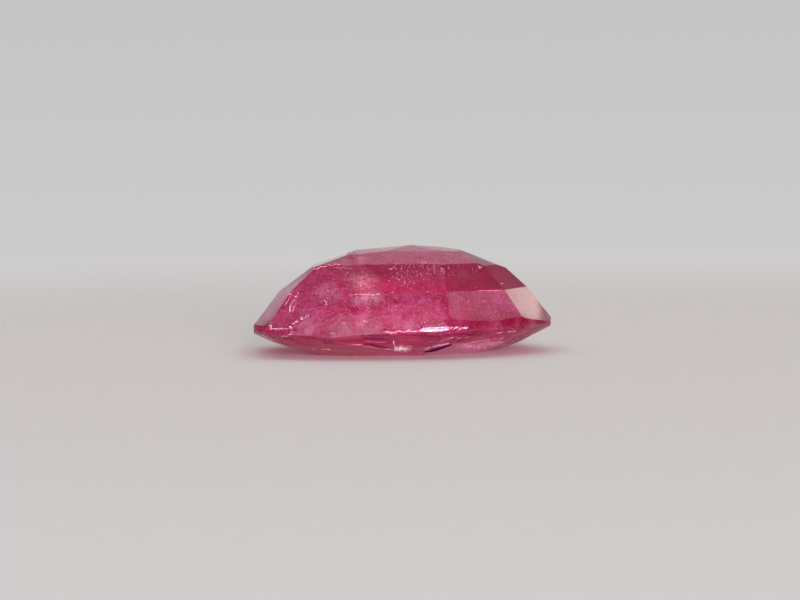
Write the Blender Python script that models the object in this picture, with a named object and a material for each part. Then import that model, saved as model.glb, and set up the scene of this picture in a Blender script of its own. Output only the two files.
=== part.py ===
"""A loose cut sapphire, lying on its table with the pavilion up.

The stone is 8.6 mm long, 7.3 mm wide and 3.1 mm high.  It is cut the way a lapidary
cuts it: a girdle blank with a cushion outline is ground, facet by facet, with flat
planes.  Lengths are in metres, +Z is up, +X is the long axis, and the origin is the
middle of the table, the flat face that the stone rests on.
"""

import math

import bmesh
import bpy
from mathutils import Vector

MM = 0.001

# The culet, the stone's highest point, a little right of the middle
CULET_X = 0.26 * MM
HEIGHT = 3.06 * MM

# The blank that the facets are ground from stands this much above the culet
BLANK_SPARE = 0.50 * MM

# Each wall of the girdle's outline is an arc of this many straight pieces
WALL_PIECES = 7

# A face is part of the girdle's wall if it leans less than this from upright
WALL_LEAN = 0.01

# The finest distance that the cutting tells apart
CUT_TOLERANCE = 1e-6 * MM

# Clear pink corundum
SAPPHIRE_PINK = (0.72, 0.10, 0.24, 1.0)
SAPPHIRE_IOR = 1.768
POLISH_ROUGHNESS = 0.03


class Column:
    """The facets above and below one side of the girdle, from table to culet."""

    def __init__(self, azimuth, reach, bulge, girdle, slopes, tiers, crown, step, skew=0.0):
        # Direction that the side faces: 0 is the front (-Y), 90 the right (+X)
        self.azimuth = math.radians(azimuth)
        # How far the pavilion's facets are turned from the wall under them
        self.skew = math.radians(skew)
        # Distance of the side's chord from the axis, and how far its arc stands out
        self.reach = reach * MM
        self.bulge = bulge * MM
        # Heights where the crown and the pavilion meet the girdle's wall
        self.girdle_bottom = girdle[0] * MM
        self.girdle_top = girdle[1] * MM
        # Slopes of the three pavilion facets, and the heights between them
        self.slopes = [math.radians(slope) for slope in slopes]
        self.tiers = [tier * MM for tier in tiers]
        # Slopes of the two crown facets, and the height between them
        self.crown = [math.radians(slope) for slope in crown]
        self.step = step * MM

    def outward(self):
        return level_direction(self.azimuth)

    def facing(self):
        return level_direction(self.azimuth + self.skew)


def level_direction(turn):
    """The level direction at a turn round the stone from the front."""
    return Vector((math.sin(turn), -math.cos(turn), 0.0))


# The cutting diagram, in degrees and millimetres, round the stone from the front.
# The cut is a hand's, so that no two sides are quite alike.
COLUMNS = [
    # azimuth, reach, bulge, girdle, pavilion slopes, tiers, crown slopes, step, skew
    Column(0, 3.42, 0.21, (0.76, 1.17), (55.0, 36.2, 20.0), (1.83, 2.60), (28, 19), 0.37),
    Column(30, 3.64, 0.08, (0.78, 1.15), (55.5, 37.5, 20.5), (1.86, 2.58), (29, 19), 0.40),
    Column(60, 4.09, 0.01, (0.77, 1.04), (52.5, 40.5, 21.5), (1.85, 2.50), (29, 18), 0.30, 5.0),
    Column(90, 4.22, 0.06, (0.76, 1.02), (52.0, 42.4, 22.0), (1.86, 2.39), (28, 17), 0.11),
    Column(119, 4.06, 0.06, (0.75, 1.02), (52.0, 41.0, 21.0), (1.85, 2.43), (28, 18), 0.26),
    Column(149, 3.68, 0.11, (0.74, 1.10), (53.0, 38.5, 20.5), (1.87, 2.56), (27, 19), 0.36),
    Column(180, 3.45, 0.18, (0.73, 1.14), (54.0, 37.0, 20.0), (1.86, 2.59), (27, 19), 0.36),
    Column(-153, 3.85, 0.13, (0.71, 1.08), (54.0, 37.0, 20.0), (1.86, 2.56), (26, 19), 0.36),
    Column(-113, 4.31, 0.05, (0.68, 0.94), (51.5, 36.0, 19.0), (1.82, 2.42), (25, 18), 0.36),
    Column(-90, 4.24, 0.04, (0.67, 0.89), (52.2, 36.0, 18.7), (1.84, 2.49), (25, 18), 0.40),
    Column(-68, 4.49, 0.04, (0.66, 0.96), (51.0, 36.5, 19.0), (1.87, 2.55), (25, 18), 0.38),
    Column(-25, 3.89, 0.14, (0.70, 1.08), (55.0, 37.0, 20.0), (1.86, 2.59), (26, 19), 0.36),
]

# The nearly flat tier around the culet: azimuth and slope of each facet, in degrees
CULET_FACETS = [(4, 7.5), (58, 6.6), (92, 5.9), (176, 7.0), (-128, 5.4), (-91, 4.6), (-52, 6.0)]


def corner_between(first, second):
    """Where the chords of two neighbouring sides cross, seen from above."""
    a, b = first.outward(), second.outward()
    cross = a.x * b.y - a.y * b.x
    return Vector((
        (first.reach * b.y - second.reach * a.y) / cross,
        (second.reach * a.x - first.reach * b.x) / cross,
        0.0,
    ))


def girdle_outline():
    """The cushion outline: a shallow arc over each side's chord."""
    points = []
    for number, column in enumerate(COLUMNS):
        start = corner_between(COLUMNS[number - 1], column)
        end = corner_between(column, COLUMNS[(number + 1) % len(COLUMNS)])
        for piece in range(WALL_PIECES):
            along = piece / WALL_PIECES
            rise = 4.0 * along * (1.0 - along) * column.bulge
            points.append(start.lerp(end, along) + column.outward() * rise)
    return points


def girdle_blank():
    """A straight-walled blank with the girdle's outline, from the table up."""
    bm = bmesh.new()
    bottom = bm.faces.new([bm.verts.new(point) for point in girdle_outline()])
    grown = bmesh.ops.extrude_face_region(bm, geom=[bottom])["geom"]
    raised = [item for item in grown if isinstance(item, bmesh.types.BMVert)]
    bmesh.ops.translate(bm, verts=raised, vec=(0.0, 0.0, HEIGHT + BLANK_SPARE))
    bmesh.ops.recalc_face_normals(bm, faces=bm.faces)
    return bm


def grind(bm, point, normal):
    """Grind one flat facet: everything past the plane goes, and the cut is closed."""
    everything = list(bm.verts) + list(bm.edges) + list(bm.faces)
    cut = bmesh.ops.bisect_plane(
        bm, geom=everything, dist=CUT_TOLERANCE, plane_co=point, plane_no=normal,
        clear_outer=True,
    )["geom_cut"]
    rim = [item for item in cut if isinstance(item, bmesh.types.BMEdge)]
    if rim:
        bmesh.ops.contextual_create(bm, geom=rim)


def facet_normal(outward, slope, up):
    """The direction that a facet faces, with up 1 on the pavilion and -1 on the crown."""
    return outward * math.sin(slope) + Vector((0.0, 0.0, up * math.cos(slope)))


def grind_pavilion(bm, column):
    """The three facets of a column between the girdle and the culet's tier."""
    facing = column.facing()
    foot = column.outward() * column.reach
    level = column.girdle_top
    for slope, next_level in zip(column.slopes, column.tiers + [HEIGHT]):
        grind(bm, foot + Vector((0.0, 0.0, level)), facet_normal(facing, slope, 1.0))
        foot -= facing * (next_level - level) / math.tan(slope)
        level = next_level


def grind_crown(bm, column):
    """The two facets of a column between the girdle and the table."""
    outward = column.outward()
    reach = column.reach + column.bulge
    level = column.girdle_bottom
    for slope, next_level in zip(column.crown, (column.step, 0.0)):
        point = outward * reach + Vector((0.0, 0.0, level))
        grind(bm, point, facet_normal(outward, slope, -1.0))
        reach -= (level - next_level) / math.tan(slope)
        level = next_level


def grind_culet(bm):
    """The nearly flat facets that meet at the culet."""
    culet = Vector((CULET_X, 0.0, HEIGHT))
    for azimuth, slope in CULET_FACETS:
        outward = level_direction(math.radians(azimuth))
        grind(bm, culet, facet_normal(outward, math.radians(slope), 1.0))


def sapphire_material():
    material = bpy.data.materials.new("sapphire_pink")
    material.use_nodes = True
    shader = material.node_tree.nodes["Principled BSDF"]
    shader.inputs["Base Color"].default_value = SAPPHIRE_PINK
    shader.inputs["Roughness"].default_value = POLISH_ROUGHNESS
    shader.inputs["Metallic"].default_value = 0.0
    shader.inputs["IOR"].default_value = SAPPHIRE_IOR
    shader.inputs["Transmission Weight"].default_value = 1.0
    material.diffuse_color = SAPPHIRE_PINK
    return material


def build_sapphire():
    bm = girdle_blank()
    for column in COLUMNS:
        grind_pavilion(bm, column)
        grind_crown(bm, column)
    grind_culet(bm)
    bm.normal_update()
    # Only the rounded wall is shaded smooth, and the facets stay flat
    for face in bm.faces:
        face.smooth = abs(face.normal.z) < WALL_LEAN
    mesh = bpy.data.meshes.new("sapphire")
    bm.to_mesh(mesh)
    bm.free()
    mesh.materials.append(sapphire_material())
    sapphire = bpy.data.objects.new("sapphire", mesh)
    bpy.context.scene.collection.objects.link(sapphire)


def main():
    for old in list(bpy.data.objects):
        bpy.data.objects.remove(old, do_unlink=True)
    build_sapphire()


main()
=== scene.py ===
# The sapphire's looks, built around the imported CAD part.
# A pink, cloudy cut stone lies on its table, seen from low and close. The stone itself is
# one clear body. Its chips, cracks and grains, and some painted highlights, reflections and
# shade, are tiny slivers set in its surface.
import math
import random
from collections import namedtuple

import bmesh
import bpy
from mathutils import Matrix, Vector
from mathutils.bvhtree import BVHTree


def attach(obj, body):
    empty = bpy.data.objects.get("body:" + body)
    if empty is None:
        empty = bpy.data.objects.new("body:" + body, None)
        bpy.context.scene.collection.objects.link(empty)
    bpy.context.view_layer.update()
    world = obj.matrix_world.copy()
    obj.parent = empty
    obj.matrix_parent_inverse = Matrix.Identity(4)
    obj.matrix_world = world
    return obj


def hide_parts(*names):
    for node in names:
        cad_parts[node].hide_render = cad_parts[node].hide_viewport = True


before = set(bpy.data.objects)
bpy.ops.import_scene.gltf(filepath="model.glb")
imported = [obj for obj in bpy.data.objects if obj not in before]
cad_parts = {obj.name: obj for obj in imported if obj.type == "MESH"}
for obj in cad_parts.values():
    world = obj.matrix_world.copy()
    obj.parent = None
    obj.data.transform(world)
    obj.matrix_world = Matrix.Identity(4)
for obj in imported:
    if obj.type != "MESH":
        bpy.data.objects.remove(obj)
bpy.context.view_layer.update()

MM = 0.001

# Camera: the photograph's scale, distance and low angle. Lengths are in millimetres.
PIXEL = 0.02896
PHOTO_WIDTH = 800
PHOTO_MIDDLE = (400.0, 300.0)
TABLE_PIXEL = (403.0, 350.6)
CAMERA_DISTANCE = 90.0
CAMERA_ELEVATION = math.radians(3.5)
CAMERA_ROLL = math.radians(0.6)
SENSOR_WIDTH = 36.0
CLIP_START = 1.0

# Corundum, clouded by silk: a part of the light is scattered near the surface
SAPPHIRE_IOR = 1.768
CLEARNESS = 0.74
ABSORPTION_COLOUR = (0.90, 0.07, 0.48, 1.0)
ABSORPTION_DENSITY = 150.0

# The coat does the mirroring, so the gloss of the body under it is tinted black
COAT_ROUGHNESS = 0.04
BODY_GLOSS_TINT = (0.0, 0.0, 0.0, 1.0)

# The stone's tints
DEEP_PINK = (0.68, 0.022, 0.17, 1.0)
FULL_PINK = (0.83, 0.108, 0.35, 1.0)
MILKY_PINK = (1.0, 0.54, 0.68, 1.0)
PALE_GRAIN = (1.0, 0.36, 0.55, 1.0)
DARK_CRIMSON = (0.42, 0.006, 0.06, 1.0)
RICH_CRIMSON = (0.74, 0.018, 0.12, 1.0)
# The next two tint facets with a painted reflection
LILAC_REFLECTION = (1.0, 0.34, 0.60, 1.0)
PEACH_REFLECTION = (1.0, 0.58, 0.56, 1.0)
# A painted glow: the rose that the dim, downward-facing crown is tinted, then the pale rose of its
# streaks
CROWN_GLOW_ROSE = (1.0, 0.04, 0.28, 1.0)
PALE_ROSE = (1.0, 0.22, 0.44, 1.0)

# How long the lumps of each noise are, in millimetres
CLOUD_SIZE = 0.9
WISP_SIZE = 0.30
STREAK_SIZE = 0.16
GRAIN_SIZE = 0.11
FINE_GRAIN_SIZE = 0.07
HAZE_SIZE = 1.1
RIPPLE_SIZE = 0.45
MOTTLE_SIZE = 0.08
DULLNESS_SIZE = 0.05
FLOOR_GRAIN_SIZE = 0.6

# The streaks' scale along each axis, which draws them out along the stone
STREAK_SCALE = (0.16, 0.6, 1.0)

# How noise becomes strength: its low and high value, and the strength at each
CLOUDS = (0.30, 0.68, 0.0, 1.0)
MILKY_GRAIN = (0.32, 0.62, 0.70, 1.0)
DARK_GRAIN = (0.3, 0.6, 0.7, 1.0)
WISPS = (0.40, 0.60, 0.55, 0.0)
PALE_SPECKS = (0.50, 0.68, 0.0, 0.50)
DARK_SPECKS = (0.34, 0.46, 0.35, 0.0)
PALE_STREAKS = (0.50, 0.62, 0.0, 0.75)
DEEP_STREAKS = (0.38, 0.48, 0.80, 0.0)
HAZE = (0.3, 0.7, 0.14, 0.32)
MOTTLE = (0.35, 0.65, 0.0, 1.0)
FLOOR_GRAIN = (0.3, 0.7, 0.0, 1.0)

# A broken face's roughness rises by this much between the two values of its noise
DULLNESS_SPAN = (0.3, 0.7)
DULLNESS_RISE = 0.25

# How facing becomes strength: how far up a facet faces, low and high, and the strength at each
CROWN_GLOW_AND_STREAKS = (-0.5, -0.3, 0.95, 0.0)
CROWN_POLISH = (-0.5, -0.3, 0.12, 1.0)
CULET_CHALK = (0.97, 0.988, 0.0, 0.45)
CULET_POLISH = (0.97, 0.988, 1.0, 0.32)

# The same for how far a surface leans from upright, from the girdle's wall to the facets
WALL_POLISH = (0.05, 0.25, 0.04, 1.0)
WALL_FROST = (0.05, 0.25, 0.25, 0.0)

# How much of the downward-facing crown is painted rose, a painted glow that makes the dim crown look
# lit
CROWN_GLOW_SHARE = 0.70

# The depth of the faint ripple under the polish, in millimetres
RIPPLE_DEPTH = 0.020

# Where a milky or dark place begins and where it is full, as shares of its radius
PLACE_EDGES = (1.25, 0.2)

# Cosine of the angle between two normals: different facets, and the same facet
SAME_FACET = (0.992, 0.997)

# The crown's facet that is still polished, by a pixel on it, and its polish
SILKY_FACET = (470, 346)
SILKY_POLISH = 0.35

# Edge wear, in millimetres, and the steps across a worn edge
GIRDLE_ROUNDING = 0.022
RIDGE_ROUNDING = 0.009
ROUNDING_STEPS = 2

# Corners nearer than this are joined, in millimetres, and faces flatter than this to each other
JOINED_CORNERS = 0.0005
JOINED_FACES = math.radians(0.3)

# An edge is a ridge if the surface turns more than this at it. A face is the girdle's wall
# if its outward direction rises or falls less than this.
RIDGE_TURN = math.radians(3.8)
WALL_RISE = 0.01

# The middle of the stone, and the direction that upright marks face: broken chips, and painted
# highlights, reflections and shade
STONE_HEART = Vector((0.0, 0.0, 1.2))
FRONT_AND_UP = Vector((0.0, -0.94, 0.34))

# The furthest that a mark stands out of the surface, as a depth in millimetres. A thin
# sliver stands out by no more than this share of its own depth, so that it stays rooted.
PROUD = -0.018
ROOTED_SHARE = 0.8

# The shortest sliver that is made, in millimetres, and how thick one is for its width
SHORTEST_SLIVER = 1e-6
MARK_THICKNESS = 0.6
SPRINKLE_THICKNESS = 0.4

# A sliver turned from the camera is widened as if it showed at least this much, squared
LEAST_SHOWN = 0.06

# How slivers differ by chance: low and high shares, or how far they stray
WIDEST_SHARES = (0.35, 0.65)
STROKE_LENGTHS = (0.9, 1.9)
STROKE_WIDTHS = (0.5, 1.3)
STROKE_TURN = 9.0
HATCH_SIZES = (0.6, 1.3)
HATCH_STRAY = 0.5
HATCH_TURN = 6.0
SPECK_LENGTHS = (0.6, 0.8, 1.0, 1.4, 2.2)
SPECK_WIDTHS = (0.4, 0.9)
SPECK_DEPTHS = (0.2, 1.0)
SPECK_TURN = 12.0
SPRINKLE_HALF_LENGTHS = (0.3, 0.4, 0.5, 0.8, 1.4)

# The kinds of marks. Places and sizes are in pixels of the photograph, angles in degrees,
# and depths in millimetres. An upright mark faces the camera, and the others lie flat.
Dash = namedtuple("Dash", "x y length angle width sink upright", defaults=(0.0, False))
Stroke = namedtuple("Stroke", "points width step wander upright", defaults=(2.2, 0.35, False))
Dust = namedtuple(
    "Dust", "x y spread_x spread_y count size angle depth upright", defaults=(None, 0.0, False)
)
Hatch = namedtuple("Hatch", "start end count length angle width upright sink", defaults=(False, 0.0))
Sprinkle = namedtuple("Sprinkle", "count size")

# Milky places in the stone, which also paint a glow where light comes back out of it, and dark
# places: pixel x, pixel y, radius in pixels, strength
MILKY_CLOUDS_AND_GLOW = [
    (362, 283, 20, 1.00),
    (370, 296, 13, 0.85),
    (356, 300, 8, 0.55),
    (327, 290, 13, 0.45),
    (335, 297, 8, 0.40),
    (420, 316, 26, 0.15),
    (392, 322, 22, 0.25),
    (340, 331, 20, 0.65),
    (368, 327, 18, 0.65),
    (308, 330, 16, 0.45),
    (362, 259, 9, 0.50),
    (290, 304, 6, 0.30),
    (412, 276, 12, 0.25),
    (434, 325, 13, 0.55),
    (408, 326, 11, 0.40),
]
# Dark places: darker spots in the stone, and painted shade on the crown and the right end, which face
# the shaded floor, and on upper facets that mirror the dim room
DARK_PLACES_AND_SHADE = [
    (342, 284, 7, 0.60),
    (354, 310, 5, 0.80),
    (396, 302, 4, 0.70),
    (405, 318, 5, 0.60),
    (410, 312, 4, 0.50),
    (351, 256, 11, 1.00),
    (447, 303, 9, 0.50),
    (452, 322, 10, 0.75),
    (477, 325, 22, 0.90),
    (508, 323, 16, 0.95),
    (525, 322, 14, 1.00),
    (541, 325, 16, 1.00),
    (545, 331, 10, 1.00),
    (525, 335, 13, 0.85),
    (260, 329, 12, 1.00),
    (275, 336, 10, 0.30),
    (288, 302, 5, 0.65),
    (420, 281, 26, 0.40),
    (465, 282, 20, 0.50),
    (330, 342, 10, 0.35),
    (375, 341, 20, 0.60),
    (430, 337, 20, 0.70),
    (465, 336, 16, 0.70),
]

# Facets painted one tint all over, as painted shade on the dark ones, which mirror the dim room,
# and as painted reflections on the peach and lilac ones: pixel x, pixel y, tint, strength
PAINTED_FACET_SHADE_AND_REFLECTIONS = [
    (400, 278, DARK_CRIMSON, 0.50),
    (490, 278, DARK_CRIMSON, 0.75),
    (516, 279, RICH_CRIMSON, 0.50),
    (525, 303, PEACH_REFLECTION, 0.35),
    (470, 346, LILAC_REFLECTION, 0.85),
]

BRIGHT_CHIPS = [
    # The chipped edge along the girdle at the left end
    Stroke([(270, 329), (281, 328.8), (292, 328)], 0.6, step=1.4),
    Stroke([(281, 336.8), (287, 336.2), (292, 334)], 0.6),
    Dust(270.5, 326, 0.8, 1.4, 12, 0.9),
    Dust(291, 327, 0.8, 1.0, 9, 0.9),
    Dust(292, 333.5, 0.5, 1.2, 6, 0.8),
    Dust(301, 318.5, 1.0, 0.8, 8, 0.9),
    Stroke([(293, 323.5), (299, 321)], 0.4),
    Stroke([(302, 318), (310, 314)], 0.3, wander=0.6),
    Dust(306, 316, 1.4, 0.8, 4, 0.7),
    # Single specks
    Dust(343, 323.5, 1.0, 0.3, 4, 0.8, angle=5.0),
    Dust(331, 333, 0.6, 0.3, 4, 0.9, angle=5.0),
    Dust(349.5, 268.5, 0.8, 0.4, 4, 0.7),
    Dust(348, 272.5, 0.7, 0.4, 3, 0.7),
    Dust(365, 321, 1.5, 0.5, 4, 0.7, angle=15.0),
    Dust(392, 292.5, 0.8, 0.6, 4, 0.6),
    Dust(427, 291.5, 0.6, 0.4, 3, 0.6),
    # The nicks along the table's edge
    Dust(326, 349.5, 4.0, 0.4, 10, 1.2, angle=3.0),
    Dust(312, 349.3, 2.2, 0.3, 5, 1.0, angle=-3.0),
    # Specks all over
    Sprinkle(90, 0.6),
]

LILAC_HIGHLIGHTS_AND_SPECKS = [
    # Painted highlight: the flash on the girdle, with a painted glow of grains above it
    Hatch((408, 331.2), (424, 330.2), 9, 4.0, 12.0, 0.4),
    Hatch((420, 331.0), (447, 329.6), 34, 5.0, 8.0, 1.1),
    Hatch((421, 329.0), (447, 327.6), 24, 4.2, 38.0, 0.9),
    Hatch((447, 328.6), (468, 327.4), 10, 5.0, 38.0, 0.9),
    Dust(424, 326, 13.0, 2.4, 60, 0.7, angle=12.0),
    # Painted highlights: the gleam over the open slit, and the fainter ones on the crown
    Stroke([(425, 349.0), (436, 346.0), (449, 343.2)], 1.0, upright=True),
    Stroke([(458, 345.6), (480, 340.4), (503, 337.8)], 0.4, step=4.0, upright=True),
    Hatch((426, 342.5), (468, 336.5), 12, 5.0, 22.0, 0.4, upright=True),
    # Painted highlights: two short gleams on the girdle's right, and a glint high on the right
    Stroke([(497, 333), (503, 332)], 1.1),
    Stroke([(508, 332), (516, 331)], 0.6),
    Dust(502, 284, 1.0, 0.6, 6, 0.8, angle=-25.0),
    # The starry speck left of the middle
    Dust(325, 303.5, 2.2, 1.7, 14, 0.7),
    Dust(327, 301, 3.5, 2.2, 8, 0.6),
    # The dusty cluster above the middle, with its faint arc
    Dust(425, 262, 1.6, 0.6, 5, 0.8, angle=10.0),
    Dust(404, 273, 8.0, 6.0, 110, 0.42),
    Dust(430, 272, 10.0, 6.5, 170, 0.42),
    Dust(443, 272, 1.6, 3.5, 16, 0.6),
    Dust(460, 275, 8.0, 4.5, 90, 0.42, angle=15.0),
    Dust(413, 283, 10.0, 2.8, 40, 0.42, angle=10.0),
    Dust(394, 281, 3.5, 2.0, 10, 0.6, angle=12.0),
    Stroke([(389, 269), (393, 267.5), (396, 264.5)], 0.35),
    Dust(480, 266.5, 2.6, 0.8, 10, 0.7, angle=20.0),
    Dust(472, 270, 4.0, 1.5, 8, 0.5, angle=-40.0),
]

HEALED_CRACKS_AND_HIGHLIGHTS = [
    # The curved cracks at the left
    Stroke([(299, 291), (296, 297), (291, 305), (289, 312)], 1.0, wander=0.7),
    Stroke([(293, 291), (289, 298), (286, 304)], 0.8, wander=0.5),
    Stroke([(296, 303), (293, 310)], 0.7, wander=0.6),
    # Painted highlights along stretches of ridge
    Stroke([(349, 294.6), (380, 293.8)], 0.7, wander=0.4),
    Stroke([(478, 290.7), (503, 290.3)], 0.3, wander=0.1),
    # The grain of the milky places
    Dust(362, 282, 6.0, 5.0, 440, 0.42),
    Dust(364, 298, 8.0, 2.2, 140, 0.42, angle=10.0),
    Dust(326, 289, 7.0, 4.0, 110, 0.42),
    # Fine cracks in the crown
    Hatch((352, 344), (392, 349.5), 7, 12.0, -8.0, 0.4, upright=True),
    # The painted highlight of the flash on the girdle begins as a soft rose glow
    Hatch((384, 332.4), (424, 330.8), 30, 4.5, 5.0, 0.8),
    # A painted highlight along the ridge at the upper left, and grain beside it
    Stroke([(314, 270), (322, 266), (340, 264.5)], 0.6, wander=0.5),
    Stroke([(334, 267), (347, 268.5)], 0.3, wander=0.4),
    Dust(360, 259, 1.2, 2.0, 26, 0.42),
    # Longer cracks in the crown
    Stroke([(364, 341), (385, 342.6)], 0.5, wander=0.2),
    Stroke([(352, 345), (366, 347), (384, 348)], 0.4, wander=0.4),
    Stroke([(282, 339), (300, 347)], 0.35, wander=0.6),
    # Loose grain, a part of it under the surface
    Dust(366, 298, 8.0, 2.4, 90, 0.6, angle=8.0, depth=0.03),
    Dust(372, 312, 24.0, 8.0, 60, 0.6, depth=0.03),
    Dust(305, 304, 13.0, 11.0, 40, 0.6, depth=0.03),
    Dust(420, 308, 20.0, 9.0, 50, 0.6, depth=0.03),
    Dust(480, 305, 16.0, 8.0, 12, 0.5),
    Dust(440, 258, 30.0, 3.0, 20, 0.5),
    # Grain on the facet painted peach as a reflection
    Dust(527, 305, 8.0, 5.5, 100, 0.42),
    # Specks all over
    Sprinkle(120, 0.6),
]

DARK_CRACKS_AND_SHADE = [
    # The blades of dark between the crown's cracks
    Hatch((366, 343.6), (384, 347.0), 6, 17.0, -10.0, 1.3, upright=True, sink=PROUD),
    Hatch((364, 337.5), (384, 338.8), 6, 15.0, -4.0, 1.1, upright=True, sink=PROUD),
    Hatch((362, 336.4), (468, 333.4), 24, 8.0, 2.0, 0.7, upright=True, sink=PROUD),
    Hatch((420, 336.5), (450, 335.5), 8, 9.0, 4.0, 0.5, upright=True, sink=PROUD),
    Hatch((424, 342.0), (442, 339.5), 7, 8.0, 14.0, 0.5, upright=True, sink=PROUD),
    Hatch((452, 338.5), (475, 334.5), 10, 7.0, 20.0, 0.5, upright=True, sink=PROUD),
    Hatch((300, 338), (350, 342), 9, 11.0, -3.0, 0.6, upright=True),
    # The dark veil beside the milky middle, and painted shade on the upper left ridge
    Stroke([(340, 285), (352, 288)], 1.4, wander=0.8),
    Stroke([(330, 269.5), (345, 268.6)], 0.8, wander=0.3),
    Stroke([(351, 268.5), (351.8, 272)], 0.8, wander=0.2),
    Dust(351, 257, 2.2, 3.4, 70, 0.7, angle=62.0),
    # Single dark spots
    Dust(354, 310, 2.0, 1.6, 12, 1.2),
    Dust(330, 342, 4.0, 1.4, 14, 1.2),
    Dust(396, 302, 1.6, 1.2, 8, 1.1),
    # Two short cracks at the left
    Stroke([(285, 305), (288, 299)], 1.0, wander=0.4),
    Stroke([(283, 338), (296, 339.5)], 1.0, wander=0.4),
    # Specks all over
    Sprinkle(260, 0.8),
]

OPEN_SLIT = [
    Dash(438.5, 348.2, 30.0, 16.0, 3.4, PROUD, upright=True),
    Dash(431, 350.2, 17.0, 12.0, 2.8, PROUD, upright=True),
    Dash(446, 345.8, 14.0, 22.0, 2.4, PROUD, upright=True),
    Hatch((430, 350.4), (448, 344.8), 6, 7.0, 24.0, 0.7, upright=True),
]

# A painted reflection of pale light on the crown's right-hand wedge
PAINTED_WEDGE_REFLECTION = [
    Dust(472, 346.6, 9.0, 1.6, 340, 0.6, angle=7.0, upright=True),
    Dust(494, 343.4, 7.5, 1.6, 240, 0.6, angle=4.0, upright=True),
]

CRIMSON_MARKS = [
    Hatch((257, 328.6), (268, 328.4), 24, 4.4, 90.0, 0.8, sink=PROUD),
    # Painted shade on the upper left ridge
    Dust(352, 256, 2.6, 3.0, 90, 0.7, angle=58.0, depth=PROUD, upright=True),
]

# The bruise's curved rim, from its top to the table's edge, and one sliver of it in pixels
BURST_RIM = [(393.5, 340.5), (394.0, 344), (396.0, 347.4), (399.5, 349.6)]
RIM_LENGTH = 5.4
RIM_WIDTH = 1.1
BURST_SPLINTERS = [
    Dust(398.5, 348.8, 1.8, 1.2, 80, 0.9, angle=-35.0, depth=PROUD, upright=True),
    Dust(406, 348.6, 2.6, 1.2, 80, 0.9, angle=35.0, depth=PROUD, upright=True),
    Dust(402, 348.6, 3.4, 1.2, 80, 0.9, depth=PROUD, upright=True),
]

# The dark and the light tone of each kind of mark
CHIP_TONES = ((0.95, 0.55, 0.68, 1.0), (1.0, 0.93, 0.97, 1.0))
LILAC_HIGHLIGHT_AND_SPECK_TONES = ((0.95, 0.32, 0.68, 1.0), (1.0, 0.82, 0.96, 1.0))
ROSE_TONES = ((1.0, 0.18, 0.34, 1.0), (1.0, 0.42, 0.57, 1.0))
CRACK_TONES = ((0.06, 0.002, 0.03, 1.0), (0.22, 0.008, 0.07, 1.0))
SLIT_TONES = ((0.012, 0.001, 0.014, 1.0), (0.05, 0.003, 0.045, 1.0))
WEDGE_REFLECTION_TONES = ((0.92, 0.24, 0.50, 1.0), (1.0, 0.44, 0.76, 1.0))
CRIMSON_TONES = ((0.26, 0.006, 0.06, 1.0), (0.48, 0.02, 0.13, 1.0))
BURST_TONES = ((1.0, 0.82, 0.90, 1.0), (1.0, 0.98, 0.99, 1.0))

# The plain floor's two tones, and its size, drop and fade in millimetres
FLOOR_DARK = (0.535, 0.502, 0.498, 1.0)
FLOOR_LIGHT = (0.550, 0.516, 0.512, 1.0)
FLOOR_ROUGHNESS = 0.95
FLOOR_RADIUS = 220.0
FLOOR_SIDES = 96
FLOOR_DROP = 0.005
FLOOR_FADE = (14.0, 70.0)

# The plain wall that the camera sees, and the heights between its two tones
WALL_BELOW = (0.61, 0.60, 0.60, 1.0)
WALL_ABOVE = (0.56, 0.56, 0.565, 1.0)
WALL_SPAN = (-0.06, 0.05)

# The room that the stone mirrors, from front to back and up to the ceiling
ROOM_FRONT = (0.09, 0.085, 0.085, 1.0)
ROOM_BACK = (0.58, 0.575, 0.57, 1.0)
ROOM_SPAN = (0.80, 0.97)
CEILING = (0.08, 0.08, 0.08, 1.0)
CEILING_SPAN = (0.14, 0.34)

# Soft bright patches of the studio: behind the stone, then right, left and high right.
# Radius and softness are in degrees.
Patch = namedtuple("Patch", "centre radius softness brightness")
SKY_PATCHES = [
    Patch((0.0, 0.84, 0.54), 17.0, 5.0, (0.29, 0.24, 0.25)),
    Patch((0.557, 0.757, 0.351), 6.0, 1.5, (1.16, 1.08, 0.95)),
    Patch((-0.474, 0.806, 0.353), 12.0, 4.0, (0.50, 0.50, 0.58)),
    Patch((0.615, -0.068, 0.785), 14.0, 5.0, (0.40, 0.40, 0.40)),
]

# Lamps: places and sizes are in metres. The stone passes on pink light, so the overhead
# light's pink part casts no shadow, and the part before it makes up the rest of white.
# The lamps marked as through are also seen by light that bends into the stone.
WHITE = (1.0, 1.0, 1.0)
ABOVE = (0.0, 0.0, 0.5)
Lamp = namedtuple("Lamp", "name place size energy colour through shadow", defaults=(WHITE, False, True))
LAMPS = [
    Lamp("overhead", ABOVE, 1.4, 4.6, (0.698, 1.0, 0.930)),
    Lamp("overhead_pink", ABOVE, 1.4, 2.16, (1.0, 0.35, 0.50), shadow=False),
    Lamp("overhead_through", ABOVE, 1.4, 2.16, through=True),
    Lamp("back_light", (0.0, 0.45, 0.24), 0.25, 0.12, through=True),
    Lamp("front_fill", (0.08, -0.5, 0.055), 0.24, 4.8),
]

# Light paths long enough to find their way out of the stone
LONGEST_PATH = 64


def camera_axes():
    """The camera's right, up and forward directions."""
    forward = Vector((0.0, math.cos(CAMERA_ELEVATION), -math.sin(CAMERA_ELEVATION)))
    level = Vector((1.0, 0.0, 0.0))
    upright = level.cross(forward)
    right = level * math.cos(CAMERA_ROLL) - upright * math.sin(CAMERA_ROLL)
    up = upright * math.cos(CAMERA_ROLL) + level * math.sin(CAMERA_ROLL)
    return right, up, forward


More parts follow.
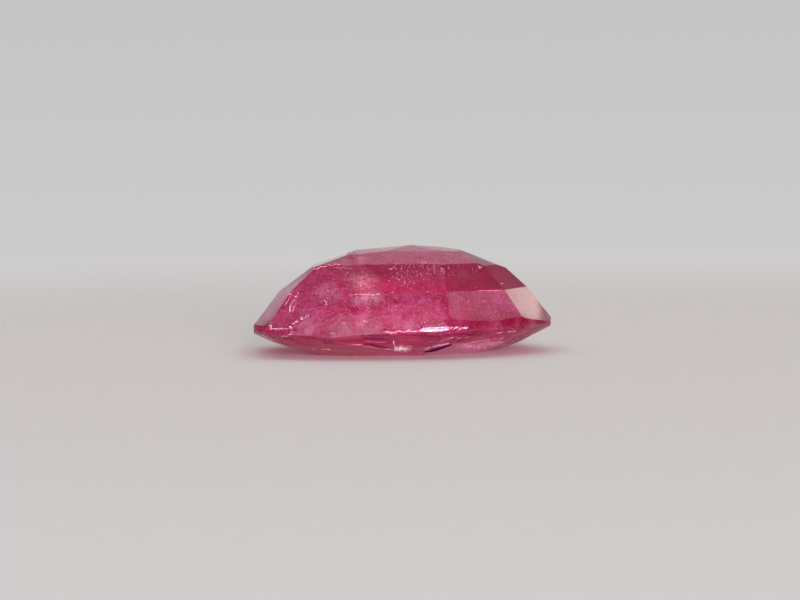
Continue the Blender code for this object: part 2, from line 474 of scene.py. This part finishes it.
def through_pixel(x, y):
    """The way from the camera to a pixel, on the plane of the stone's middle."""
    right, up, forward = camera_axes()
    across = right * (x - PHOTO_MIDDLE[0]) * PIXEL
    down = up * (PHOTO_MIDDLE[1] - y) * PIXEL
    return across + down + forward * CAMERA_DISTANCE


def camera_place():
    """Where the camera stands, in millimetres, with the table's middle on its pixel."""
    return -through_pixel(*TABLE_PIXEL)


def line_angle(start, end):
    """The angle of a line between two pixels, in degrees, turning left from the right."""
    return math.degrees(math.atan2(start[1] - end[1], end[0] - start[0]))


def along_line(start, end, share):
    """The pixel at a share of the way between two others."""
    x = start[0] + (end[0] - start[0]) * share
    y = start[1] + (end[1] - start[1]) * share
    return x, y


def new_material(name):
    """An empty node material, its node tree and its output node."""
    material = bpy.data.materials.new(name)
    material.use_nodes = True
    tree = material.node_tree
    tree.nodes.clear()
    return material, tree, tree.nodes.new("ShaderNodeOutputMaterial")


def spread(tree, value, low, high, low_out, high_out, smooth=False):
    """Maps a value's range from low..high to low_out..high_out, clamped."""
    node = tree.nodes.new("ShaderNodeMapRange")
    if smooth:
        node.interpolation_type = "SMOOTHSTEP"
    node.inputs["From Min"].default_value = low
    node.inputs["From Max"].default_value = high
    node.inputs["To Min"].default_value = low_out
    node.inputs["To Max"].default_value = high_out
    tree.links.new(value, node.inputs["Value"])
    return node.outputs["Result"]


def noise(tree, size, detail=3.0, scale=None):
    """A noise through the object whose lumps are about this many millimetres long."""
    coordinates = tree.nodes.new("ShaderNodeTexCoord")
    texture = tree.nodes.new("ShaderNodeTexNoise")
    texture.inputs["Scale"].default_value = 1.0 / (size * MM)
    texture.inputs["Detail"].default_value = detail
    place = coordinates.outputs["Object"]
    if scale:
        mapping = tree.nodes.new("ShaderNodeMapping")
        mapping.inputs["Scale"].default_value = scale
        tree.links.new(place, mapping.inputs["Vector"])
        place = mapping.outputs["Vector"]
    tree.links.new(place, texture.inputs["Vector"])
    return texture.outputs["Fac"]


def arithmetic(tree, operation, first, second=0.0):
    """One sum or product, or another operation, on values that are sockets or numbers."""
    node = tree.nodes.new("ShaderNodeMath")
    node.operation = operation
    for number, value in enumerate((first, second)):
        if isinstance(value, bpy.types.NodeSocket):
            tree.links.new(value, node.inputs[number])
        else:
            node.inputs[number].default_value = value
    return node.outputs["Value"]


def blend(tree, factor, first, second):
    """A colour between two others, each a socket or a fixed colour."""
    node = tree.nodes.new("ShaderNodeMix")
    node.data_type = "RGBA"
    tree.links.new(factor, node.inputs["Factor"])
    for name, colour in (("A", first), ("B", second)):
        if isinstance(colour, bpy.types.NodeSocket):
            tree.links.new(colour, node.inputs[name])
        else:
            node.inputs[name].default_value = colour
    return node.outputs["Result"]


def places_mask(tree, skin, places):
    """How near a point is to any of the listed places on the stone's surface."""
    coordinates = tree.nodes.new("ShaderNodeTexCoord")
    total = None
    for x, y, radius, strength in places:
        centre, _ = skin.under(x, y)
        away = tree.nodes.new("ShaderNodeVectorMath")
        away.operation = "DISTANCE"
        away.inputs[1].default_value = centre * MM
        tree.links.new(coordinates.outputs["Object"], away.inputs[0])
        edges = [radius * PIXEL * MM * share for share in PLACE_EDGES]
        near = spread(tree, away.outputs["Value"], *edges, 0.0, strength, smooth=True)
        total = near if total is None else arithmetic(tree, "MAXIMUM", total, near)
    return total


def facet_mask(tree, skin, x, y, strength):
    """The strength on the facet under a pixel, and none on facets that face elsewhere."""
    _, normal = skin.under(x, y)
    coordinates = tree.nodes.new("ShaderNodeTexCoord")
    likeness = tree.nodes.new("ShaderNodeVectorMath")
    likeness.operation = "DOT_PRODUCT"
    likeness.inputs[1].default_value = normal
    tree.links.new(coordinates.outputs["Normal"], likeness.inputs[0])
    return spread(tree, likeness.outputs["Value"], *SAME_FACET, 0.0, strength)


def clouded_pink(tree, skin, grain):
    """The colour inside the stone: clouds, milky places with a painted glow, dark wisps and fine grain.
    """
    clouds = spread(tree, noise(tree, CLOUD_SIZE, detail=5.0), *CLOUDS)
    colour = blend(tree, clouds, DEEP_PINK, FULL_PINK)
    # Milky clouds, which also paint a glow where light comes back out of the stone
    broken = spread(tree, grain, *MILKY_GRAIN)
    milky_and_glow = arithmetic(tree, "MULTIPLY", places_mask(tree, skin, MILKY_CLOUDS_AND_GLOW), broken)
    colour = blend(tree, milky_and_glow, colour, MILKY_PINK)
    wisps = spread(tree, noise(tree, WISP_SIZE, detail=5.0), *WISPS)
    colour = blend(tree, wisps, colour, DARK_CRIMSON)
    fine = noise(tree, FINE_GRAIN_SIZE, detail=4.0)
    colour = blend(tree, spread(tree, fine, *PALE_SPECKS), colour, PALE_GRAIN)
    return blend(tree, spread(tree, fine, *DARK_SPECKS), colour, DARK_CRIMSON)


def stone_colour(tree, skin, facing_up):
    """The clouded pink, with the crown's painted rose glow and streaks, the dark places with painted
    shade, and facets tinted with painted shade and reflections.
    """
    grain = noise(tree, GRAIN_SIZE, detail=4.0)
    colour = clouded_pink(tree, skin, grain)
    # The crown, which faces down, gets a painted rose glow in place of light, and is streaked along its
    # length
    streaks = noise(tree, STREAK_SIZE, detail=4.0, scale=STREAK_SCALE)
    crown = spread(tree, facing_up, *CROWN_GLOW_AND_STREAKS)
    colour = blend(tree, arithmetic(tree, "MULTIPLY", crown, CROWN_GLOW_SHARE), colour, CROWN_GLOW_ROSE)
    # The tier round the culet, which faces straight up, is chalky
    colour = blend(tree, spread(tree, facing_up, *CULET_CHALK), colour, MILKY_PINK)
    pale = arithmetic(tree, "MULTIPLY", spread(tree, streaks, *PALE_STREAKS), crown)
    colour = blend(tree, pale, colour, PALE_ROSE)
    deep = arithmetic(tree, "MULTIPLY", spread(tree, streaks, *DEEP_STREAKS), crown)
    colour = blend(tree, deep, colour, RICH_CRIMSON)
    # The dark places, with their painted shade
    patchy = spread(tree, grain, *DARK_GRAIN)
    dark = arithmetic(tree, "MULTIPLY", places_mask(tree, skin, DARK_PLACES_AND_SHADE), patchy)
    colour = blend(tree, dark, colour, DARK_CRIMSON)
    # Painted shade and painted reflections, one tint over each listed facet
    for x, y, tint, strength in PAINTED_FACET_SHADE_AND_REFLECTIONS:
        colour = blend(tree, facet_mask(tree, skin, x, y, strength), colour, tint)
    return colour


def stone_polish(tree, skin, facing_up, lean):
    """How polished each facet is.

    The girdle's upright wall is frosted. The tier round the culet and the crown are
    rubbed dull, but for one silky facet, and the other facets are polished.
    """
    wall = spread(tree, lean, *WALL_POLISH)
    culet = spread(tree, facing_up, *CULET_POLISH)
    crown = spread(tree, facing_up, *CROWN_POLISH)
    polish = arithmetic(tree, "MULTIPLY", wall, arithmetic(tree, "MULTIPLY", culet, crown))
    silky = facet_mask(tree, skin, *SILKY_FACET, SILKY_POLISH)
    return arithmetic(tree, "MAXIMUM", polish, silky)


def stone_haze(tree, lean):
    """The roughness under the polish, with more on the girdle's frosted wall."""
    haze = spread(tree, noise(tree, HAZE_SIZE), *HAZE)
    frost = spread(tree, lean, *WALL_FROST)
    return arithmetic(tree, "ADD", haze, frost)


def stone_ripple(tree):
    """A faint unevenness under the polish."""
    bump = tree.nodes.new("ShaderNodeBump")
    bump.inputs["Distance"].default_value = RIPPLE_DEPTH * MM
    bump.inputs["Strength"].default_value = 1.0
    tree.links.new(noise(tree, RIPPLE_SIZE, detail=6.0), bump.inputs["Height"])
    return bump.outputs["Normal"]


def sapphire_material(skin):
    """Clear pink corundum whose haze is inside, under a sharp polish."""
    material, tree, output = new_material("pink_sapphire")
    shader = tree.nodes.new("ShaderNodeBsdfPrincipled")
    shader.inputs["IOR"].default_value = SAPPHIRE_IOR
    shader.inputs["Transmission Weight"].default_value = CLEARNESS
    shader.inputs["Specular Tint"].default_value = BODY_GLOSS_TINT
    shader.inputs["Coat Roughness"].default_value = COAT_ROUGHNESS
    shader.inputs["Coat IOR"].default_value = SAPPHIRE_IOR
    coordinates = tree.nodes.new("ShaderNodeTexCoord")
    split = tree.nodes.new("ShaderNodeSeparateXYZ")
    tree.links.new(coordinates.outputs["Normal"], split.inputs["Vector"])
    facing_up = split.outputs["Z"]
    lean = arithmetic(tree, "ABSOLUTE", facing_up)
    tree.links.new(stone_colour(tree, skin, facing_up), shader.inputs["Base Color"])
    tree.links.new(stone_polish(tree, skin, facing_up, lean), shader.inputs["Coat Weight"])
    tree.links.new(stone_haze(tree, lean), shader.inputs["Roughness"])
    tree.links.new(stone_ripple(tree), shader.inputs["Normal"])
    absorption = tree.nodes.new("ShaderNodeVolumeAbsorption")
    absorption.inputs["Color"].default_value = ABSORPTION_COLOUR
    absorption.inputs["Density"].default_value = ABSORPTION_DENSITY
    tree.links.new(shader.outputs["BSDF"], output.inputs["Surface"])
    tree.links.new(absorption.outputs["Volume"], output.inputs["Volume"])
    return material


def fleck_material(name, tones, roughness, gloss=0.5):
    """A sliver's face, mottled between two tones: for cracks and chips, and for painted highlights,
    reflections and shade.
    """
    material, tree, output = new_material(name)
    shader = tree.nodes.new("ShaderNodeBsdfPrincipled")
    shader.inputs["Specular IOR Level"].default_value = gloss
    mottle = spread(tree, noise(tree, MOTTLE_SIZE, detail=2.0), *MOTTLE)
    tree.links.new(blend(tree, mottle, *tones), shader.inputs["Base Color"])
    grain = noise(tree, DULLNESS_SIZE, detail=2.0)
    dull = spread(tree, grain, *DULLNESS_SPAN, roughness, roughness + DULLNESS_RISE)
    tree.links.new(dull, shader.inputs["Roughness"])
    tree.links.new(shader.outputs["BSDF"], output.inputs["Surface"])
    return material


def polished_stone():
    """The stone with its girdle rounded off and its ridges faintly worn."""
    bm = bmesh.new()
    bm.from_mesh(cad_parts["sapphire"].data)
    bmesh.ops.scale(bm, vec=(1.0 / MM,) * 3, verts=bm.verts)
    bmesh.ops.remove_doubles(bm, verts=bm.verts, dist=JOINED_CORNERS)
    bmesh.ops.dissolve_limit(bm, angle_limit=JOINED_FACES, verts=bm.verts, edges=bm.edges)
    bmesh.ops.recalc_face_normals(bm, faces=bm.faces)
    bm.normal_update()
    weights = bm.edges.layers.float.new("bevel_weight_edge")
    for edge in bm.edges:
        if edge.calc_face_angle(0.0) < RIDGE_TURN:
            continue
        walls = [abs(face.normal.z) < WALL_RISE for face in edge.link_faces]
        edge[weights] = 1.0 if any(walls) else RIDGE_ROUNDING / GIRDLE_ROUNDING
    for face in bm.faces:
        face.smooth = True
    mesh = bpy.data.meshes.new("cut_sapphire")
    bm.to_mesh(mesh)
    bm.free()
    stone = bpy.data.objects.new("cut_sapphire", mesh)
    bpy.context.scene.collection.objects.link(stone)
    bevel = stone.modifiers.new("worn_edges", "BEVEL")
    bevel.limit_method = "WEIGHT"
    bevel.width = GIRDLE_ROUNDING
    bevel.segments = ROUNDING_STEPS
    bevel.harden_normals = True
    rounded = stone.evaluated_get(bpy.context.evaluated_depsgraph_get())
    applied = bpy.data.meshes.new_from_object(rounded)
    stone.modifiers.clear()
    stone.data = applied
    applied.name = "cut_sapphire"
    return stone


class Skin:
    """The stone's surface, in millimetres, as the camera meets it."""

    def __init__(self, mesh):
        corners = [vertex.co.copy() for vertex in mesh.vertices]
        self.tree = BVHTree.FromPolygons(corners, [list(face.vertices) for face in mesh.polygons])

    def under(self, x, y):
        """The surface's point and outward direction under a pixel, or nearest to it."""
        way = through_pixel(x, y).normalized()
        point, normal, _, _ = self.tree.ray_cast(camera_place(), way)
        if point is None:
            aim = camera_place() + way * CAMERA_DISTANCE
            point, normal, _, _ = self.tree.find_nearest(aim)
        return point, normal


class Flecks:
    """Tiny closed bodies set in the stone's surface, gathered in one mesh."""

    def __init__(self, name, skin, seed):
        self.name = name
        self.skin = skin
        self.random = random.Random(seed)
        self.corners = []
        self.faces = []

    def lens(self, start, end, normal, width, thickness):
        """A sliver pointed at both ends, lying in the surface."""
        along = end - start
        if along.length < SHORTEST_SLIVER:
            return
        side = along.cross(normal).normalized() * width * 0.5
        middle = start.lerp(end, self.random.uniform(*WIDEST_SHARES))
        high = normal * thickness * 0.5
        first = len(self.corners)
        self.corners += [start, end, middle + side, middle + high, middle - side, middle - high]
        for corner in range(4):
            a = first + 2 + corner
            b = first + 2 + (corner + 1) % 4
            self.faces.append((first, b, a))
            self.faces.append((first + 1, a, b))

    def dash(self, x, y, length, angle, width, sink, upright):
        """A sliver round a pixel."""
        turn = math.radians(angle)
        half = Vector((math.cos(turn), -math.sin(turn))) * length * 0.5
        start, _ = self.skin.under(x - half.x, y - half.y)
        end, _ = self.skin.under(x + half.x, y + half.y)
        _, surface = self.skin.under(x, y)
        normal = FRONT_AND_UP if upright else surface
        thickness = width * PIXEL * MARK_THICKNESS
        side = (end - start).cross(normal).normalized()
        hidden = side.dot(through_pixel(x, y).normalized())
        shown = math.sqrt(max(1.0 - hidden ** 2, LEAST_SHOWN))
        wide = width * PIXEL / shown
        # However far a sliver stands out, its lowest corner stays in the stone
        rooted = 0.5 * max(abs(side.dot(surface)) * wide, abs(normal.dot(surface)) * thickness)
        drop = surface * max(sink, -ROOTED_SHARE * rooted)
        self.lens(start - drop, end - drop, normal, wide, thickness)

    def stroke(self, points, width, step, wander, upright):
        """A broken line through pixels, as slivers that follow one another."""
        for start, end in zip(points, points[1:]):
            reach = math.hypot(end[0] - start[0], end[1] - start[1])
            angle = line_angle(start, end)
            count = max(1, round(reach / step))
            for number in range(count):
                x, y = along_line(start, end, (number + 0.5) / count)
                x += self.random.gauss(0.0, wander)
                y += self.random.gauss(0.0, wander)
                length = reach / count * self.random.uniform(*STROKE_LENGTHS)
                turn = angle + self.random.gauss(0.0, STROKE_TURN)
                wide = width * self.random.uniform(*STROKE_WIDTHS)
                self.dash(x, y, length, turn, wide, 0.0, upright)

    def dust(self, x, y, spread_x, spread_y, count, size, angle, depth, upright):
        """A scatter of specks round a pixel, thinning out, down to a depth."""
        for _ in range(count):
            near_x = x + self.random.gauss(0.0, spread_x)
            near_y = y + self.random.gauss(0.0, spread_y)
            length = size * self.random.choice(SPECK_LENGTHS)
            if angle is None:
                turn = self.random.uniform(0.0, 180.0)
            else:
                turn = angle + self.random.gauss(0.0, SPECK_TURN)
            sink = depth * self.random.uniform(*SPECK_DEPTHS)
            wide = size * self.random.uniform(*SPECK_WIDTHS)
            self.dash(near_x, near_y, length, turn, wide, sink, upright)

    def hatch(self, start, end, count, length, angle, width, upright, sink):
        """A row of slanting slivers side by side between two pixels."""
        for number in range(count):
            x, y = along_line(start, end, (number + 0.5) / count)
            x += self.random.gauss(0.0, HATCH_STRAY)
            y += self.random.gauss(0.0, HATCH_STRAY)
            turn = angle + self.random.gauss(0.0, HATCH_TURN)
            long = length * self.random.uniform(*HATCH_SIZES)
            wide = width * self.random.uniform(*HATCH_SIZES)
            self.dash(x, y, long, turn, wide, sink, upright)

    def sprinkle(self, count, size):
        """Specks all over the stone, at random."""
        for _ in range(count):
            way = Vector([self.random.gauss(0.0, 1.0) for _ in range(3)])
            point, normal, _, _ = self.skin.tree.ray_cast(STONE_HEART, way)
            turn = Matrix.Rotation(self.random.uniform(0.0, math.pi), 3, normal)
            half = turn @ normal.orthogonal().normalized()
            half *= size * PIXEL * self.random.choice(SPRINKLE_HALF_LENGTHS)
            wide = size * PIXEL * self.random.uniform(*SPECK_WIDTHS)
            self.lens(point - half, point + half, normal, wide, size * PIXEL * SPRINKLE_THICKNESS)

    def draw(self, marks):
        """Makes the listed marks, in their order."""
        makers = {
            Dash: self.dash,
            Stroke: self.stroke,
            Dust: self.dust,
            Hatch: self.hatch,
            Sprinkle: self.sprinkle,
        }
        for mark in marks:
            makers[type(mark)](*mark)

    def finish(self, material):
        """Makes the piece, which rides with the stone."""
        mesh = bpy.data.meshes.new(self.name)
        mesh.from_pydata([corner * MM for corner in self.corners], [], self.faces)
        mesh.materials.append(material)
        piece = bpy.data.objects.new(self.name, mesh)
        bpy.context.scene.collection.objects.link(piece)
        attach(piece, "root")


def set_bright_marks(skin):
    """Chips, open cracks and specks that catch the light."""
    chips = Flecks("bright_chips", skin, seed=3)
    chips.draw(BRIGHT_CHIPS)
    chips.finish(fleck_material("chip_white", CHIP_TONES, roughness=0.25))


def set_lilac_highlights_and_specks(skin):
    """Painted highlights, the long bright flash on the girdle and other lilac gleams, with lilac specks
    and grains.
    """
    gleams = Flecks("painted_highlights_and_lilac_specks", skin, seed=5)
    gleams.draw(LILAC_HIGHLIGHTS_AND_SPECKS)
    gleams.finish(fleck_material("lilac_highlight_and_speck", LILAC_HIGHLIGHT_AND_SPECK_TONES, roughness=0.12))


def set_rose_cracks_and_highlights(skin):
    """Healed cracks, and painted highlights along stretches of ridge, a little paler than the stone."""
    cracks_and_highlights = Flecks("healed_cracks_and_painted_highlights", skin, seed=7)
    cracks_and_highlights.draw(HEALED_CRACKS_AND_HIGHLIGHTS)
    cracks_and_highlights.finish(fleck_material("rose_crack_and_highlight", ROSE_TONES, roughness=0.3))


def set_dark_cracks_and_shade(skin):
    """Open cracks that trap the light, and painted shade on the upper left ridge."""
    cracks = Flecks("dark_cracks_and_painted_shade", skin, seed=9)
    cracks.draw(DARK_CRACKS_AND_SHADE)
    cracks.finish(fleck_material("shade_and_crack_dark", CRACK_TONES, roughness=0.5, gloss=0.05))


def set_slit(skin):
    """The open slit at the crown's middle, as long slivers of near black."""
    slit = Flecks("open_slit", skin, seed=13)
    slit.draw(OPEN_SLIT)
    slit.finish(fleck_material("slit_black", SLIT_TONES, roughness=0.6, gloss=0.05))


def set_wedge_reflection(skin):
    """A painted reflection: the pale lilac wedge on the crown's right, thinning out at its edges."""
    silk = Flecks("painted_wedge_reflection", skin, seed=11)
    silk.draw(PAINTED_WEDGE_REFLECTION)
    silk.finish(fleck_material("lilac_wedge_reflection", WEDGE_REFLECTION_TONES, roughness=0.3))


def set_crimson_marks(skin):
    """Two dark crimson places: the girdle's wall at the left end, and painted shade on the upper left
    ridge.
    """
    crimson = Flecks("crimson_marks", skin, seed=19)
    crimson.draw(CRIMSON_MARKS)
    crimson.finish(fleck_material("dark_crimson", CRIMSON_TONES, roughness=0.5, gloss=0.1))


def set_burst(skin):
    """The white bruise where the table's edge is chipped, with its curved rim."""
    burst = Flecks("table_burst", skin, seed=17)
    for start, end in zip(BURST_RIM, BURST_RIM[1:]):
        x, y = along_line(start, end, 0.5)
        burst.dash(x, y, RIM_LENGTH, line_angle(start, end), RIM_WIDTH, PROUD, upright=True)
    burst.draw(BURST_SPLINTERS)
    burst.finish(fleck_material("burst_white", BURST_TONES, roughness=0.25))


def floor_material():
    """Pale matt floor that turns clear well away from the stone."""
    material, tree, output = new_material("pale_floor")
    shader = tree.nodes.new("ShaderNodeBsdfPrincipled")
    shader.inputs["Roughness"].default_value = FLOOR_ROUGHNESS
    grain = spread(tree, noise(tree, FLOOR_GRAIN_SIZE, detail=4.0), *FLOOR_GRAIN)
    tree.links.new(blend(tree, grain, FLOOR_DARK, FLOOR_LIGHT), shader.inputs["Base Color"])
    coordinates = tree.nodes.new("ShaderNodeTexCoord")
    away = tree.nodes.new("ShaderNodeVectorMath")
    away.operation = "LENGTH"
    tree.links.new(coordinates.outputs["Object"], away.inputs[0])
    edges = [distance * MM for distance in FLOOR_FADE]
    fade = spread(tree, away.outputs["Value"], *edges, 0.0, 1.0, smooth=True)
    clear = tree.nodes.new("ShaderNodeBsdfTransparent")
    joined = tree.nodes.new("ShaderNodeMixShader")
    tree.links.new(fade, joined.inputs["Fac"])
    tree.links.new(shader.outputs["BSDF"], joined.inputs[1])
    tree.links.new(clear.outputs["BSDF"], joined.inputs[2])
    tree.links.new(joined.outputs["Shader"], output.inputs["Surface"])
    return material


def place_floor():
    """A pale floor that fades into the studio's wall well behind the stone."""
    bm = bmesh.new()
    bmesh.ops.create_circle(bm, cap_ends=True, segments=FLOOR_SIDES, radius=FLOOR_RADIUS * MM)
    mesh = bpy.data.meshes.new("floor")
    bm.to_mesh(mesh)
    bm.free()
    floor = bpy.data.objects.new("floor", mesh)
    floor.location.z = -FLOOR_DROP * MM
    bpy.context.scene.collection.objects.link(floor)
    mesh.materials.append(floor_material())


def sky_patch(tree, sky, patch):
    """Adds a round, soft-edged bright patch around a direction."""
    nearness = tree.nodes.new("ShaderNodeVectorMath")
    nearness.operation = "DOT_PRODUCT"
    nearness.inputs[1].default_value = Vector(patch.centre).normalized()
    coordinates = tree.nodes.new("ShaderNodeTexCoord")
    tree.links.new(coordinates.outputs["Generated"], nearness.inputs[0])
    outside = math.cos(math.radians(patch.radius + patch.softness))
    inside = math.cos(math.radians(patch.radius - patch.softness))
    edge = spread(tree, nearness.outputs["Value"], outside, inside, 0.0, 1.0, smooth=True)
    glow = tree.nodes.new("ShaderNodeVectorMath")
    glow.operation = "MULTIPLY_ADD"
    glow.inputs[0].default_value = patch.brightness
    tree.links.new(edge, glow.inputs[1])
    tree.links.new(sky, glow.inputs[2])
    return glow.outputs["Vector"]


def studio_lamp(lamp):
    """A soft disk lamp aimed at the stone that leaves no highlight on the polish."""
    data = bpy.data.lights.new(lamp.name, "AREA")
    data.shape = "DISK"
    data.size = lamp.size
    data.energy = lamp.energy
    data.color = lamp.colour
    if not lamp.shadow:
        data.use_shadow = False
        data.cycles.use_multiple_importance_sampling = False
    light = bpy.data.objects.new(lamp.name, data)
    light.location = lamp.place
    light.rotation_euler = Vector(lamp.place).to_track_quat("Z", "Y").to_euler()
    light.visible_glossy = False
    light.visible_transmission = lamp.through
    bpy.context.scene.collection.objects.link(light)


def light_studio():
    """A plain studio: a pale wall, a dim room with soft bright patches, and the lamps."""
    world = bpy.data.worlds.new("studio")
    bpy.context.scene.world = world
    world.use_nodes = True
    tree = world.node_tree
    coordinates = tree.nodes.new("ShaderNodeTexCoord")
    split = tree.nodes.new("ShaderNodeSeparateXYZ")
    tree.links.new(coordinates.outputs["Generated"], split.inputs["Vector"])
    # The camera sees a plain pale wall, a little darker upwards
    rise = spread(tree, split.outputs["Z"], *WALL_SPAN, 0.0, 1.0, smooth=True)
    wall = blend(tree, rise, WALL_BELOW, WALL_ABOVE)
    # The stone sees a like wall behind it, a dim room in front of it and a dim ceiling
    back = spread(tree, split.outputs["Y"], *ROOM_SPAN, 0.0, 1.0, smooth=True)
    room = blend(tree, back, ROOM_FRONT, ROOM_BACK)
    high = spread(tree, split.outputs["Z"], *CEILING_SPAN, 0.0, 1.0, smooth=True)
    sky = blend(tree, high, room, CEILING)
    for patch in SKY_PATCHES:
        sky = sky_patch(tree, sky, patch)
    rays = tree.nodes.new("ShaderNodeLightPath")
    sky = blend(tree, rays.outputs["Is Camera Ray"], sky, wall)
    tree.links.new(sky, tree.nodes["Background"].inputs["Color"])
    for lamp in LAMPS:
        studio_lamp(lamp)


def place_camera():
    """The camera at the photograph's place and angle."""
    data = bpy.data.cameras.new("camera")
    data.sensor_width = SENSOR_WIDTH
    data.lens = SENSOR_WIDTH * CAMERA_DISTANCE / (PHOTO_WIDTH * PIXEL)
    data.clip_start = CLIP_START * MM
    camera = bpy.data.objects.new("camera", data)
    bpy.context.scene.collection.objects.link(camera)
    right, up, forward = camera_axes()
    turn = Matrix((right, up, -forward)).transposed().to_4x4()
    camera.matrix_world = Matrix.Translation(camera_place() * MM) @ turn
    bpy.context.scene.camera = camera


stone = polished_stone()
skin = Skin(stone.data)
stone.data.materials.clear()
stone.data.materials.append(sapphire_material(skin))
stone.data.transform(Matrix.Scale(MM, 4))
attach(stone, "root")
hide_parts("sapphire")

set_bright_marks(skin)
set_lilac_highlights_and_specks(skin)
set_rose_cracks_and_highlights(skin)
set_dark_cracks_and_shade(skin)
set_slit(skin)
set_wedge_reflection(skin)
set_crimson_marks(skin)
set_burst(skin)

place_floor()
light_studio()
place_camera()

scene = bpy.context.scene
scene.view_settings.view_transform = "Standard"
scene.cycles.max_bounces = LONGEST_PATH
scene.cycles.transmission_bounces = LONGEST_PATH
scene.cycles.glossy_bounces = LONGEST_PATH
